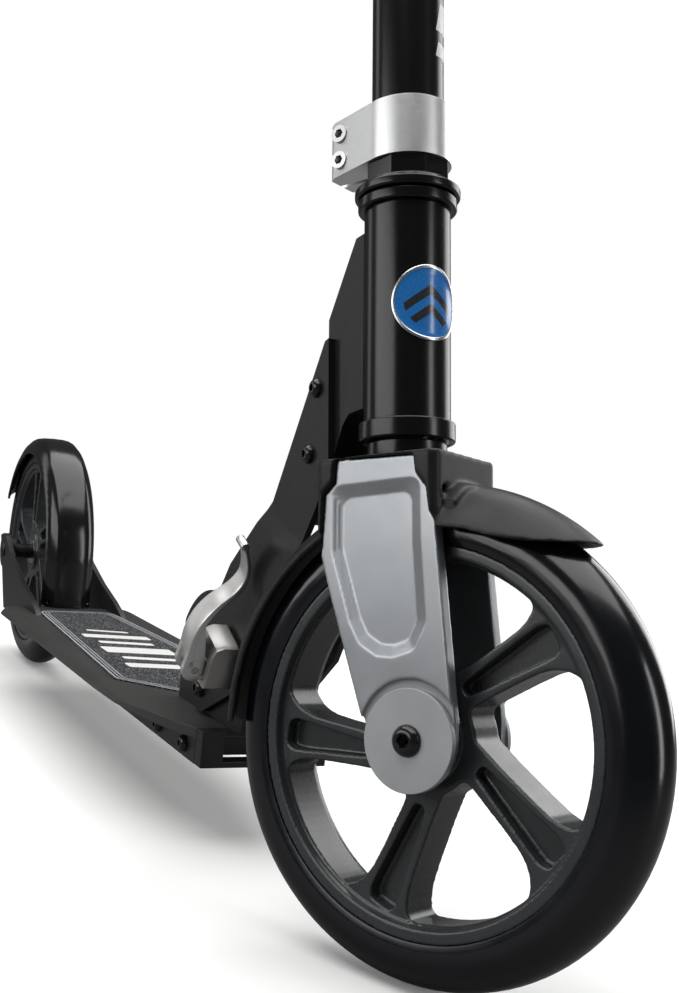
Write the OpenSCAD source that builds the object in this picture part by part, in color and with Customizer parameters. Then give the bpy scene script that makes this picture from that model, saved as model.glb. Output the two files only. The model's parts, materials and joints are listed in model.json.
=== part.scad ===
// Folding kick scooter with 200 mm wheels.
// +X is forward, +Y is the rider's left, +Z is up; the wheels stand on Z = 0.
// Everything above the head tube hangs on the steering axis, which leans back.

/* [Layout] */
// Distance between the wheel axles
wheelbase = 682; // [640:1:720]
// Lean of the steering axis back from the vertical, in degrees
rake = 11; // [9:0.5:13]
// Front axle ahead of the steering axis
fork_offset = 16; // [12:1:18]
// Steering angle at rest, turned to the left, in degrees
steer_rest = 27; // [0:1:30]

/* [Wheels] */
// Outside diameter of both tyres
wheel_d = 200; // [196:1:200]
// Width of the tyre
tyre_w = 30; // [26:1:30]
// Radius where the tyre meets the rim
rim_r = 80; // [76:1:82]
// Number of spokes
spokes = 5; // [4:1:6]

/* [Handlebar] */
// Distance from the axle to the handlebar, along the steering axis
bar_height = 843; // [820:1:860]
// Overall width of the handlebar
bar_w = 418; // [380:2:440]
// Outside diameter of the lower steering tube
stem_d = 32; // [32:1:33]
// Outside diameter of the sliding upper tube
slide_d = 28; // [28:0.1:28.1]

/* [Deck] */
// Width of the deck over its rolled edges
deck_w = 115; // [110:1:118]
// Height of the standing surface
deck_top = 64; // [62:1:64]
// Width of the channel under the deck
channel_w = 72; // [70:1:74]
// Height of the underside of the channel
channel_z = 45; // [43:1:47]

/* [Hidden] */
$fn = 64;

front_x = 346.55;
wheel_r = wheel_d / 2;
rear_x = front_x - wheelbase;
axis_x = front_x - fork_offset * cos(rake);
axis_z = wheel_r - fork_offset * sin(rake);
fit = 0.05;

// Wheel sections
bead_w = tyre_w - 1.6;
crown_r = tyre_w / 2;
rim_in = 73.5;
rim_half = 14;
web_half = 10;
groove_d = 6.5;
spoke_root = 23;
spoke_aside = 9;
spoke_turn = asin(spoke_aside / 71);
hub_r = 17;
hub_half = 12;
bearing_r = 11;
bearing_w = 7;
axle_r = 4;

// Fork
leg_in = 17;
leg_out = 23;
disc_out = 23.8;
pad_y = 21;
disc_r = 21;
crown_lo = 107;
crown_hi = 117.5;
guard_r = 106.5;
guard_t = 2.6;
guard_half = 20.5;

// Headset stations along the steering axis
cup_lo = 125.5;
tube_lo = 134.2;
tube_hi = 229.3;
race_lo = 234.9;
nut_lo = 241.4;
nut_hi = 250;
collar_lo = 250.2;
collar_hi = 276.5;
steerer_r = 14;
steerer_hi = 300;
head_r = 19.05;
head_bore = 16.6;
cup_r = 21.1;
stem_r = stem_d / 2;
stem_hi = 592;
slide_r = slide_d / 2;
slide_lo = 515;
bore_r = slide_r + 0.08;

// Fold joint, measured back from the front axle
fold_back = 202;
fold_z = 78;
fold_x = front_x - fold_back;
qr_dx = 34;
qr_dz = 20.5;
qr_arm = norm([qr_dx, qr_dz]);
qr_ang = atan2(qr_dz, qr_dx);
qr_lean = 25;
fold_turn = 79;
sector_r = 54;
cheek_in = 12.5;
cheek_out = 18.4;
plate_t = 3.2;
upper_in = 17.5;
lower_in = 18.8;
plate_out = lower_in + plate_t;
cam_y = 42;
cam_r = 7;

// Rear end
arm_in = 31;
arm_out = 36;
hinge_x = rear_x + 98;
hinge_z = deck_top + 4.4;
hinge_r = 1.4;
knuckle_r = 2.8;

// ---- placing helpers ----

module head_frame() translate([axis_x, 0, axis_z]) rotate([0, -rake, 0]) children();
module fork_frame() head_frame() rotate([0, 0, steer_rest]) children();
module front_wheel_frame() fork_frame() translate([fork_offset, 0, 0]) rotate([90, 0, 0]) children();
module rear_wheel_frame() translate([rear_x, 0, wheel_r]) rotate([90, 0, 0]) children();
module fold_frame() translate([fold_x, 0, fold_z]) children();
module lever_frame() fold_frame() translate([qr_dx, 0, qr_dz]) rotate([0, qr_lean, 0]) children();
module both_sides() {
    children();
    mirror([0, 1, 0]) children();
}

// Extrudes an X-Z outline from Y = y0 to Y = y1
module across(y0, y1) translate([0, y1, 0]) rotate([90, 0, 0]) linear_extrude(y1 - y0) children();

// Round bar along Y
module y_bar(r, y0, y1) translate([0, y1, 0]) rotate([90, 0, 0]) cylinder(r = r, h = y1 - y0);

// Round bar along Z
module z_bar(r, z0, z1) translate([0, 0, z0]) cylinder(r = r, h = z1 - z0);

module z_ring(r_out, r_in, z0, z1) difference() {
    z_bar(r_out, z0, z1);
    z_bar(r_in, z0 - 1, z1 + 1);
}

module y_ring(r_out, r_in, y0, y1) difference() {
    y_bar(r_out, y0, y1);
    y_bar(r_in, y0 - 1, y1 + 1);
}

// Dome-headed screw along -Y: the head stands on Y = 0 towards -Y, the shank runs to +Y
module dome_screw(head_r, head_h, shank_r, shank_l) difference() {
    rotate([90, 0, 0]) rotate_extrude() polygon(concat(
        [[0, -shank_l], [shank_r, -shank_l], [shank_r, 0], [head_r, 0]],
        [for (a = [15 : 15 : 75]) [head_r * (0.45 + 0.55 * cos(a)), head_h * sin(a)]],
        [[head_r * 0.45, head_h], [0, head_h]]));
    translate([0, -head_h - 1, 0]) rotate([-90, 0, 0]) cylinder(r = head_r * 0.42, h = 1 + head_h * 0.7, $fn = 6);
}

// ---- wheels ----

module tyre() color([0.07, 0.07, 0.08]) rotate_extrude($fn = 128) difference() {
    union() {
        translate([wheel_r - crown_r, 0]) circle(r = crown_r);
        polygon([[rim_r, -bead_w / 2], [wheel_r - crown_r, -crown_r],
                 [wheel_r - crown_r, crown_r], [rim_r, bead_w / 2]]);
    }
    translate([0, -tyre_w]) square([rim_r, 2 * tyre_w]);
}

// Half outline of a spoke as [distance out, half width]; the spoke passes beside the hub's centre
spoke_shape = [[0, 7.2], [30, 7.6], [48, 8.6], [58, 9.5], [63, 10.8], [67, 12.9], [70, 15.6], [72, 18.5], [78, 26]];
groove_shape = [[25, 2.7], [36, 3.9], [50, 5.2], [62, 6.4], [67, 6.6], [70.8, 5]];

module symmetric(half) polygon(concat(half, [for (i = [len(half) - 1 : -1 : 0]) [half[i][0], -half[i][1]]]));

// Places its child along every spoke, drawn out from the hub along X
module each_spoke() for (i = [0 : spokes - 1])
    rotate([0, 0, i * 360 / spokes - spoke_turn]) translate([0, spoke_aside, 0]) children();

// Openings between the spokes, round at their corners
module spoke_windows() offset(r = 4.2, $fn = 32) offset(delta = -4.2) difference() {
    circle(r = rim_in - 0.3, $fn = 128);
    circle(r = spoke_root);
    each_spoke() symmetric(spoke_shape);
}

module rim(phase) color([0.17, 0.17, 0.18]) rotate([0, 0, phase]) difference() {
    union() {
        rotate_extrude($fn = 128) polygon([
            [rim_in, -8], [rim_in + 1.5, -rim_half], [rim_r, -rim_half], [rim_r, rim_half],
            [rim_in + 1.5, rim_half], [rim_in, 8]]);
        translate([0, 0, -web_half]) cylinder(r = rim_in + 0.5, h = 2 * web_half, $fn = 128);
        z_bar(hub_r, -hub_half, hub_half);
    }
    translate([0, 0, -20]) linear_extrude(40) spoke_windows();
    for (s = [0, 1]) mirror([0, 0, s]) translate([0, 0, web_half - groove_d])
        linear_extrude(10) offset(r = 2.4, $fn = 24) offset(delta = -2.4) each_spoke() symmetric(groove_shape);
    z_bar(bearing_r - 1.5, -20, 20);
    for (s = [0, 1]) mirror([0, 0, s]) z_bar(bearing_r, hub_half - bearing_w, 20);
}

module bearing_pair() color("silver")
    for (s = [0, 1]) mirror([0, 0, s]) z_ring(bearing_r, axle_r + fit, hub_half - bearing_w, hub_half);

module front_rim() front_wheel_frame() rim(36);
module front_tyre() front_wheel_frame() tyre();
module front_bearings() front_wheel_frame() bearing_pair();
module rear_rim() rear_wheel_frame() rim(23);
module rear_tyre() rear_wheel_frame() tyre();
module rear_bearings() rear_wheel_frame() bearing_pair();

// ---- deck ----

panel_t = 5.5;
channel_top = deck_top - panel_t;
channel_half = channel_w / 2;
channel_back = front_x - 585;
nose_x = front_x - 157;
nose_t = 10;
nose_open = 47;
panel_back = rear_x + 96;
block_back = front_x - 246;
block_front = front_x - 172;
block_half = 18.4;
screw_xs = [front_x - 226, front_x - 183];
screw_z = 52;

// Outline of the rear arms, seen from the side: axle boss, rising arm and foot
module arm_outline() {
    translate([rear_x, wheel_r]) circle(r = 15);
    polygon([
        [rear_x + 4, wheel_r + 14.4], [rear_x + 36, 96.5], [rear_x + 78, 83], [rear_x + 117, 73.5],
        [rear_x + 142, deck_top + 2], [rear_x + 150, channel_top], [channel_back, channel_top],
        [channel_back, 51], [rear_x + 19, 51], [rear_x - 16, wheel_r + 12], [rear_x - 4, wheel_r + 14.7]]);
}

// Open-bottomed channel with in-turned lips
module deck_channel() color([0.12, 0.12, 0.13]) difference() {
    translate([channel_back, 0, 0]) rotate([90, 0, 90])
        linear_extrude(nose_x - nose_t - channel_back) difference() {
            translate([-channel_half, channel_z]) square([channel_w, channel_top - channel_z]);
            translate([3 - channel_half, channel_z + 3]) square([channel_w - 6, channel_top - channel_z - 6]);
            translate([9 - channel_half, channel_z - 1]) square([channel_w - 18, 6]);
        }
    translate([block_back, -block_half, channel_z + 6])
        cube([block_front - block_back, 2 * block_half, 20]);
    for (x = screw_xs) translate([x, 0, screw_z]) y_bar(2.5, -50, 50);
    for (x = [rear_x + 110, rear_x + 140]) translate([x, 0, screw_z]) y_bar(2.5, -50, 50);
}

// Standing plate with rolled sides, narrowed at the front, with the brake's hinge lugs at the back
module deck_panel() color([0.30, 0.30, 0.29]) {
    half = deck_w / 2;
    roll = 13;
    difference() {
        intersection() {
            translate([panel_back, 0, 0]) rotate([90, 0, 90]) linear_extrude(nose_x - nose_t - panel_back)
                polygon(concat(
                    [for (a = [0 : 15 : 90]) [half - roll + roll * sin(a), channel_top + panel_t * cos(a)]],
                    [for (a = [90 : -15 : 0]) [roll - half - roll * sin(a), channel_top + panel_t * cos(a)]]));
            linear_extrude(100) polygon([for (s = [1, -1], p = s > 0 ? panel_side : rev(panel_side))
                [front_x - p[0], s * p[1]]]);
        }
        translate([block_back, -block_half, 0]) cube([block_front - block_back, 2 * block_half, 100]);
        for (s = [0, 1]) mirror([0, s, 0]) across(arm_in + 1.8, arm_out + 1) arm_outline();
    }
    both_sides() across(5, 8) difference() {
        union() {
            translate([hinge_x, hinge_z]) circle(r = knuckle_r);
            translate([hinge_x - 2, deck_top - 2]) square([knuckle_r + 2, hinge_z - deck_top + 2]);
        }
        translate([hinge_x, hinge_z]) circle(r = hinge_r);
    }
}

function rev(list) = [for (i = [len(list) - 1 : -1 : 0]) list[i]];

// Half outline of the standing plate: distance behind the front axle, half width
panel_side = [[584, 50], [574, 57.5], [290, 57.5], [250, 56], [222, 52.5], [195, 46.5], [178, 41], [167, 36]];

module grip_tape() color([0.22, 0.23, 0.24]) translate([0, 0, deck_top]) linear_extrude(0.8)
    offset(r = 7, $fn = 32) offset(delta = -7) polygon([
        for (s = [1, -1], p = s > 0 ? tape_side : rev(tape_side)) [front_x - p[0], s * p[1]]]);

// Half outline of the grip tape: distance behind the front axle, half width
tape_side = [[559, 31], [289, 45], [252, 13]];

// Frame that closes the front end of the channel
module deck_nose() color([0.10, 0.10, 0.11]) translate([nose_x - nose_t, 0, 0]) difference() {
    translate([0, -channel_half, channel_z]) cube([nose_t, channel_w, deck_top - channel_z]);
    translate([-1, -nose_open / 2, channel_z + 3.5]) cube([nose_t + 2, nose_open, deck_top - channel_z - 5.5]);
}

module nose_screws() color([0.08, 0.08, 0.08])
    both_sides() for (x = screw_xs) translate([x, -channel_half, screw_z]) dome_screw(4.6, 3.4, 2.5, 9);

// Block held inside the channel, with the two cheeks of the fold joint standing on it
module fold_bracket() color([0.09, 0.09, 0.10]) difference() {
    union() {
        translate([block_back, -channel_half + 3, channel_z + 3])
            cube([block_front - block_back, channel_w - 6, channel_top - channel_z - 6]);
        translate([block_back, -block_half, channel_z + 8])
            cube([block_front - block_back, 2 * block_half, deck_top + 3 - channel_z - 8]);
        both_sides() across(cheek_in, cheek_out) intersection() {
            translate([fold_x, fold_z]) circle(r = sector_r, $fn = 96);
            translate([block_back, deck_top]) square([130, 120]);
        }
    }
    fold_frame() {
        y_bar(4 + fit, -50, 50);
        fold_slot();
    }
    for (x = screw_xs) translate([x, 0, screw_z]) y_bar(2.5, -50, 50);
}

// Curved slot that the quick-release bolt runs in, centred on the fold pivot
module fold_slot() {
    slot_r = 3 + 0.3;
    end_ang = qr_ang + fold_turn + 0.6;
    start_ang = qr_ang - 0.6;
    for (a = [start_ang, end_ang])
        translate([qr_arm * cos(a), 0, qr_arm * sin(a)]) y_bar(slot_r - 0.1, -50, 50);
    translate([0, 30, 0]) rotate([90, 0, 0]) rotate([0, 0, start_ang])
        rotate_extrude(angle = end_ang - start_ang, $fn = 96) translate([qr_arm - slot_r, 0])
            square([2 * slot_r, 60]);
}

module fold_pivot_bolt() color([0.08, 0.08, 0.08]) fold_frame() {
    translate([0, -plate_out, 0]) dome_screw(5.4, 4.2, 4, plate_out + plate_out + 7);
}

module fold_pivot_nut() color([0.25, 0.25, 0.26]) fold_frame() difference() {
    translate([0, plate_out + 6.5, 0]) rotate([90, 0, 0]) cylinder(r = 7.2, h = 6.5, $fn = 6);
    y_bar(4, 0, 50);
}

// ---- rear end ----

module rear_arm() {
    difference() {
        union() {
            across(arm_in + 1.8, arm_out + 1) arm_outline();
            across(28, arm_in + 1.8) {
                translate([rear_x, wheel_r]) circle(r = 12);
                translate([rear_x + 60, channel_z + 3.2]) square([105, channel_top - channel_z - 6.4]);
            }
        }
        translate([rear_x, 0, wheel_r]) y_bar(axle_r, 0, 50);
        for (x = [rear_x + 110, rear_x + 140]) translate([x, 0, screw_z]) y_bar(2.5, 0, 50);
    }
}
module rear_arm_left() color([0.09, 0.09, 0.10]) rear_arm();
module rear_arm_right() color([0.09, 0.09, 0.10]) mirror([0, 1, 0]) rear_arm();

module arm_screws() color([0.08, 0.08, 0.08]) both_sides()
    for (x = [rear_x + 110, rear_x + 140]) translate([x, -channel_half, screw_z]) dome_screw(4.6, 3, 2.5, 8);

module rear_axle() color("silver") translate([rear_x, 0, wheel_r]) y_bar(axle_r, 1 - arm_out, arm_out - 1);

module rear_axle_nuts() color([0.2, 0.2, 0.2]) translate([rear_x, 0, wheel_r]) both_sides()
    translate([0, -arm_out - 1, 0]) dome_screw(6.6, 2.4, axle_r, 2);

module rear_spacers() color("silver") translate([rear_x, 0, wheel_r])
    both_sides() y_ring(6.5, axle_r, hub_half + fit, 28);

module brake_hinge_pin() color("silver") translate([hinge_x, 0, hinge_z]) y_bar(hinge_r, -12.5, 12.5);

// Torsion spring round the hinge pin, as the closed shape of its coils with one leg on the deck
module brake_spring() color("silver") translate([hinge_x, 0, hinge_z]) y_ring(2.5, hinge_r, -4.7, 4.7);

// Cross-section of a mudguard: radius from the axle against distance from the middle
function guard_pt(t, drop, inset) = [guard_r - inset - drop * pow(abs(t), 3), (guard_half - inset / 2) * t];
module guard_section(drop) polygon(concat(
    [for (t = [-1 : 0.125 : 1]) guard_pt(t, drop, 0)],
    [for (t = [1 : -0.125 : -1]) guard_pt(t, drop, guard_t)]));

// Half of the brake's section: nearly flat crown, crease and deep side flange
fender_r = 103;
fender_t = 1.7;
fender_half = [[0, 0], [8, 0.3], [12, 1.0], [14, 2.0], [17.5, 5.5], [20, 10.5], [20.5, 15]];
module fender_section() difference() {
    polygon([for (s = [-1, 1], p = s < 0 ? rev(fender_half) : fender_half) [fender_r - p[1], s * p[0]]]);
    polygon([for (s = [-1, 1], p = s < 0 ? rev(fender_half) : fender_half)
        [fender_r - fender_t - p[1] * 1.02 - 0.01, s * p[0] * 0.92]]);
}

// Springy rear mudguard that is pressed down on the tyre to brake
module brake_fender() color([0.05, 0.05, 0.06]) difference() {
    union() {
        rear_wheel_frame() {
            rotate_extrude(angle = 152, $fn = 96) fender_section();
            rotate([90, 0, 0]) linear_extrude(wheel_r - deck_top - 0.6) fender_section();
        }
        both_sides() translate([hinge_x, 0, hinge_z]) {
            y_bar(knuckle_r, 8.3, 12);
            translate([0, 8.3, -knuckle_r]) cube([4, 3.7, 2 * knuckle_r]);
        }
    }
    translate([hinge_x, 0, hinge_z]) y_bar(hinge_r + fit, -50, 50);
}

// ---- neck ----

module head_tube() color([0.06, 0.06, 0.07]) head_frame() z_ring(head_r, head_bore, tube_lo, tube_hi);

// Side outline of the welded gusset behind the head tube, along and behind the steering axis
module neck_outline() polygon([
    [-8, 220], [-15.5, 220], [-42, 189], [-42, 181], [-62, 152], [-88, 116], [-86, 108],
    [-60, 95], [-47, 105], [-36, 123], [-27, 137], [-21, 141], [-8, 141]]);
module neck_hollow() polygon([
    [-8, 214], [-14, 214], [-38.5, 187], [-38.5, 180], [-60, 148], [-83, 115], [-58, 101],
    [-50, 107], [-38, 126], [-30, 140], [-23, 145], [-8, 145]]);

module neck_block() color([0.10, 0.10, 0.11]) head_frame() difference() {
    across(-upper_in, upper_in) neck_outline();
    across(-upper_in + 3.5, upper_in - 3.5) neck_hollow();
    z_bar(head_r, 100, 260);
    for (p = neck_screw_at) translate([p[0], 0, p[1]]) y_bar(2.5, -30, 30);
}

// Places of the neck screws: behind the steering axis, along it
neck_screw_at = [[-47, 157.5], [-54.5, 127.5]];

// Side outline of the bolted neck plates: distance behind the front axle, height
plate_front = [[85, 265.5], [72.5, 207], [81, 188], [93.4, 169.3], [106, 150], [114, 130], [126, 108],
               [150, 88], [194, 67.5]];
plate_back = [[214.5, 82], [186, 137], [176, 150], [130.7, 186.8], [88.5, 264.3]];
bend_back = 122;
bend_z = 178.6;
bend_ang = 15.4;

module neck_plate() difference() {
    intersection() {
        union() {
            across(0, 40) polygon([for (p = concat(plate_front, plate_back)) [front_x - p[0], p[1]]]);
            fold_frame() y_bar(13, 0, 40);
        }
        translate([front_x - bend_back, 0, bend_z]) rotate([0, bend_ang, 0])
            translate([-200, 0, 0]) rotate([90, 0, 90]) linear_extrude(400) polygon([
                [upper_in, 200], [upper_in + plate_t, 200], [upper_in + plate_t, 0], [plate_out, -10],
                [plate_out, -200], [lower_in, -200], [lower_in, -10], [upper_in, 0]]);
    }
    fold_frame() {
        y_bar(4 + fit, 0, 50);
        translate([qr_dx, 0, qr_dz]) y_bar(3 + fit, 0, 50);
    }
    head_frame() for (p = neck_screw_at) translate([p[0], 0, p[1]]) y_bar(2.5, 0, 30);
}
module neck_plate_left() color([0.10, 0.10, 0.11]) neck_plate();
module neck_plate_right() color([0.10, 0.10, 0.11]) mirror([0, 1, 0]) neck_plate();

module neck_screws() color([0.08, 0.08, 0.08]) head_frame() both_sides()
    for (p = neck_screw_at) translate([p[0], -upper_in - plate_t, p[1]]) dome_screw(4.6, 3.2, 2.5, 6.5);

// Round badge that wraps the front of the head tube: its outline is a circle bent round the tube
badge_r = 16.6;
badge_s = 183.2;
module head_badge() color([0.25, 0.50, 0.75]) head_frame() intersection() {
    z_ring(head_r + 0.6, head_r, badge_s - badge_r - 1, badge_s + badge_r + 1);
    translate([0, 0, badge_s]) rotate([0, 90, 0]) linear_extrude(40) polygon([for (a = [0 : 10 : 350])
        [badge_r * cos(a), head_r * sin(badge_r * sin(a) / head_r * 180 / PI)]]);
}

module lower_cup() color([0.08, 0.08, 0.09]) head_frame() difference() {
    union() {
        z_bar(cup_r, cup_lo, tube_lo);
        z_bar(head_bore, tube_lo - 1, tube_lo + 7);
    }
    z_bar(18.6, cup_lo - 1, cup_lo + 5.5);
    z_bar(steerer_r + 0.6, cup_lo, tube_lo + 8);
}

module upper_cup() color([0.08, 0.08, 0.09]) head_frame() difference() {
    union() {
        z_bar(cup_r + 0.8, tube_hi, race_lo - 0.4);
        z_bar(head_bore, tube_hi - 7, tube_hi + 1);
    }
    z_bar(18.6, race_lo - 5.4, race_lo + 1);
    z_bar(steerer_r + 0.6, tube_hi - 8, race_lo);
}

module headset_bearings() color("silver") head_frame() {
    z_ring(18.6, steerer_r + fit, cup_lo + 0.3, cup_lo + 5.5);
    z_ring(18.6, steerer_r + fit, race_lo - 5.4, race_lo - 0.4);
}

// ---- quick release of the fold joint ----

// Bolt with an eye that the lever's pin goes through
module qr_bolt() color("silver") difference() {
    union() {
        fold_frame() translate([qr_dx, 0, qr_dz]) y_bar(3, -cam_y + 1, plate_out + 9);
        lever_frame() translate([-3.3, -cam_y, 0]) rotate([0, 90, 0]) cylinder(r = 4.4, h = 6.6);
    }
    lever_frame() translate([-10, -cam_y, 0]) rotate([0, 90, 0]) cylinder(r = 2, h = 20);
}

module qr_pin() color([0.6, 0.6, 0.6]) lever_frame()
    translate([-7.6, -cam_y, 0]) rotate([0, 90, 0]) cylinder(r = 2, h = 15.2);

// Saddle block between the lever's cam and the neck plate
module qr_saddle() color([0.75, 0.76, 0.75]) lever_frame() difference() {
    translate([-10, 0, 0]) rotate([90, 0, 90]) linear_extrude(23) polygon(concat(
        [[-plate_out, -8], [-plate_out, 19]],
        [for (a = [0 : 15 : 60]) [-plate_out - 3 - 9 * sin(a), 12 + 12.5 * cos(a)]],
        [[-36, 10], [-38.5, 5], [-38.5, -8]]));
    translate([-20, -cam_y, 0]) rotate([0, 90, 0]) cylinder(r = cam_r + 0.4, h = 40);
    rotate([0, -qr_lean, 0]) y_bar(3 + fit, -50, 0);
    translate([-20, -60, -30]) cube([60, 60 - plate_out, 18]);
}

module qr_nut() color([0.5, 0.5, 0.5]) fold_frame() translate([qr_dx, 0, qr_dz]) difference() {
    translate([0, plate_out + 7, 0]) rotate([90, 0, 0]) cylinder(r = 6.5, h = 7, $fn = 6);
    y_bar(3, 0, 50);
}

// Points of a cubic curve through control points a, b, c, d
function curve_pt(a, b, c, d, t) = pow(1 - t, 3) * a + 3 * t * pow(1 - t, 2) * b + 3 * t * t * (1 - t) * c
    + pow(t, 3) * d;
function side_of(p, q, w) = let (v = (q - p) / norm(q - p)) [-v[1] * w, v[0] * w];

// Bands a row of points into a strip of half thickness w
module strip(pts, w) {
    n = len(pts) - 1;
    polygon(concat(
        [for (i = [0 : n]) pts[i] + side_of(pts[max(i - 1, 0)], pts[min(i + 1, n)], w)],
        [for (i = [n : -1 : 0]) pts[i] - side_of(pts[max(i - 1, 0)], pts[min(i + 1, n)], w)]));
}

lever_path = concat(
    [for (t = [0 : 0.1 : 1]) curve_pt([-44.5, 2], [-49, 16], [-45.5, 30], [-36, 40], t)],
    [for (t = [0.1 : 0.1 : 1]) curve_pt([-36, 40], [-25.5, 50], [-22.5, 58], [-37, 80], t)]);

module qr_lever() color([0.80, 0.80, 0.78]) lever_frame() difference() {
    union() {
        translate([-7.5, 0, 0]) rotate([90, 0, 90]) linear_extrude(15) strip(lever_path, 1.9);
        translate([-7.5, -cam_y, 0]) rotate([0, 90, 0]) cylinder(r = cam_r, h = 15);
    }
    translate([-10, -cam_y, 0]) rotate([0, 90, 0]) cylinder(r = 2 + fit, h = 20);
    translate([-3.7, -cam_y - 8, -12]) cube([7.4, 20, 16.8]);
}

// ---- fork ----

module crown_race() color([0.10, 0.10, 0.11]) fork_frame() z_ring(17.5, steerer_r, crown_hi, cup_lo - 0.1);

module adjusting_race() color([0.07, 0.07, 0.08]) fork_frame() difference() {
    union() {
        z_bar(23.4, race_lo, race_lo + 4.3);
        z_bar(20.5, race_lo, nut_lo);
    }
    z_bar(steerer_r, race_lo - 1, nut_lo + 1);
}

module locknut() color([0.12, 0.12, 0.13]) fork_frame() difference() {
    translate([0, 0, nut_lo]) rotate([0, 0, 11]) cylinder(r = 19.1, h = nut_hi - nut_lo, $fn = 8);
    z_bar(steerer_r, nut_lo - 1, nut_hi + 1);
}

module steerer_tube() color([0.5, 0.5, 0.5]) fork_frame()
    z_ring(steerer_r, steerer_r - 2.5, crown_lo, steerer_hi);

module fork_crown() color([0.15, 0.15, 0.16]) fork_frame() difference() {
    translate([-22, -leg_in, crown_lo]) cube([44, 2 * leg_in, crown_hi - crown_lo]);
    z_bar(steerer_r, crown_lo - 1, crown_hi + 1);
    for (q = leg_screw_q) translate([q, 0, leg_screw_s]) y_bar(2.5, -40, 40);
}

// Places of the screws that hold the legs on the crown, hidden by the legs' own faces
leg_screw_q = [-17.5, 15.5];
leg_screw_s = 111;

// Front view outline of a fork leg: across and along the steering axis
module leg_outline() {
    polygon([
        [-20.5, 117], [18.6, 116], [19.6, 108.3], [24.7, 102], [25.8, 92.6], [28.3, 88.4],
        [36.4, 8], [36, 0], [fork_offset, 0], [-4, 0], [-7, 8], [-24.5, 61.5], [-28.7, 76.3], [-28, 79],
        [-26.7, 102.3], [-21.3, 107]]);
    translate([fork_offset, 0]) circle(r = disc_r - 1);
}

// Recessed panel in the face of a leg, drawn in by w
module leg_recess(w) offset(r = 5, $fn = 32) offset(delta = -5 - w) polygon([
    [-23, 105.5], [21, 106.5], [21.5, 80], [24, 47], [18, 36], [8, 33.2], [0, 33.8], [-8.5, 39], [-13.5, 48], [-23, 78]]);

module fork_leg() difference() {
    across(leg_in, leg_out) leg_outline();
    for (i = [0 : 5]) across(leg_out - 0.32 * (i + 1), leg_out + 1) leg_recess(0.85 * i);
    translate([fork_offset, 0, 0]) {
        y_bar(disc_r + 3.6, pad_y, leg_out + 1);
        y_bar(axle_r, 0, 50);
    }
    for (q = leg_screw_q) translate([q, 0, leg_screw_s]) y_bar(2.5, 0, 21);
}
module fork_leg_left() color([0.55, 0.57, 0.58]) fork_frame() fork_leg();
module fork_leg_right() color([0.55, 0.57, 0.58]) fork_frame() mirror([0, 1, 0]) fork_leg();

// Blind studs that hold the legs on the crown
module leg_screws() color([0.5, 0.5, 0.5]) fork_frame() both_sides()
    for (q = leg_screw_q) translate([q, 0, leg_screw_s]) y_bar(2.5, 6.5, 21);

// Front beak of the mudguard: a rounder section, cut by a lower edge that rises to the tip
beak_half = 25.2;
beak_drop = 19.6;
beak_tip = 46;
beak_side = 73;
function beak_pt(t, inset) = [guard_r - inset - beak_drop * pow(abs(t), 2.2), (beak_half - inset * 0.9) * t];
function polar(r, a) = [fork_offset + r * cos(a), r * sin(a)];
function beak_edge(a) = polar(guard_r - 19 + 19.6 * pow((beak_side - a) / (beak_side - beak_tip), 2.4), a);
module beak() intersection() {
    translate([fork_offset, 0, 0]) rotate([90, 0, 0]) rotate([0, 0, beak_tip - 1])
        rotate_extrude(angle = 40, $fn = 96) polygon(concat(
            [for (t = [-1 : 0.125 : 1]) beak_pt(t, 0)],
            [for (t = [1 : -0.125 : -1]) beak_pt(t, guard_t)]));
    across(-30, 30) polygon(concat(
        [polar(86.5, 88)], [for (a = [beak_side : -3 : beak_tip]) beak_edge(a)],
        [polar(114, beak_tip), polar(122, 60), polar(122, 75), polar(114, 88)]));
}

// Plan of the crown cover: a box with small bevelled corners
cover_lo = 86;
module cover_outline() polygon([
    [0, -22.5], [3, -25.5], [58, -25.5], [61, -22.5], [61, 22.5], [58, 25.5], [3, 25.5], [0, 22.5]]);

// Plastic mudguard, one piece with the cover round the fork crown
module front_mudguard() color([0.20, 0.21, 0.22]) fork_frame() difference() {
    union() {
        translate([fork_offset, 0, 0]) rotate([90, 0, 0]) rotate([0, 0, 78])
            rotate_extrude(angle = 100, $fn = 96) guard_section(9);
        beak();
        difference() {
            translate([-31, 0, cover_lo]) linear_extrude(crown_hi + 0.3 - cover_lo) cover_outline();
            translate([fork_offset, 0, 0]) y_bar(guard_r - guard_t, -19, 19);
        }
    }
    translate([-22, -leg_in, crown_lo]) cube([44, 2 * leg_in, 40]);
    z_bar(18, 90, 130);
    both_sides() across(leg_in - 0.01, 40) offset(delta = 0.3) leg_outline();
}

module front_axle() color("silver") fork_frame() translate([fork_offset, 0, 0]) y_bar(axle_r, -pad_y, pad_y);

module axle_discs() color([0.55, 0.57, 0.58]) fork_frame() translate([fork_offset, 0, 0])
    both_sides() y_ring(disc_r, axle_r, pad_y, disc_out);

module axle_bolts() color([0.05, 0.05, 0.05]) fork_frame() translate([fork_offset, 0, 0])
    both_sides() translate([0, -disc_out, 0]) dome_screw(6.6, 3.6, axle_r, disc_out - pad_y);

module front_spacers() color("silver") fork_frame() translate([fork_offset, 0, 0])
    both_sides() y_ring(6.5, axle_r, hub_half + fit, leg_in);

// ---- steering column ----

module stem_tube() color([0.05, 0.05, 0.06]) fork_frame() difference() {
    z_ring(stem_r, bore_r, collar_lo, stem_hi);
    translate([-30, -1.25, collar_lo - 1]) cube([20, 2.5, 40]);
    translate([-30, -1.25, stem_hi - 45]) cube([20, 2.5, 50]);
}

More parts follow.
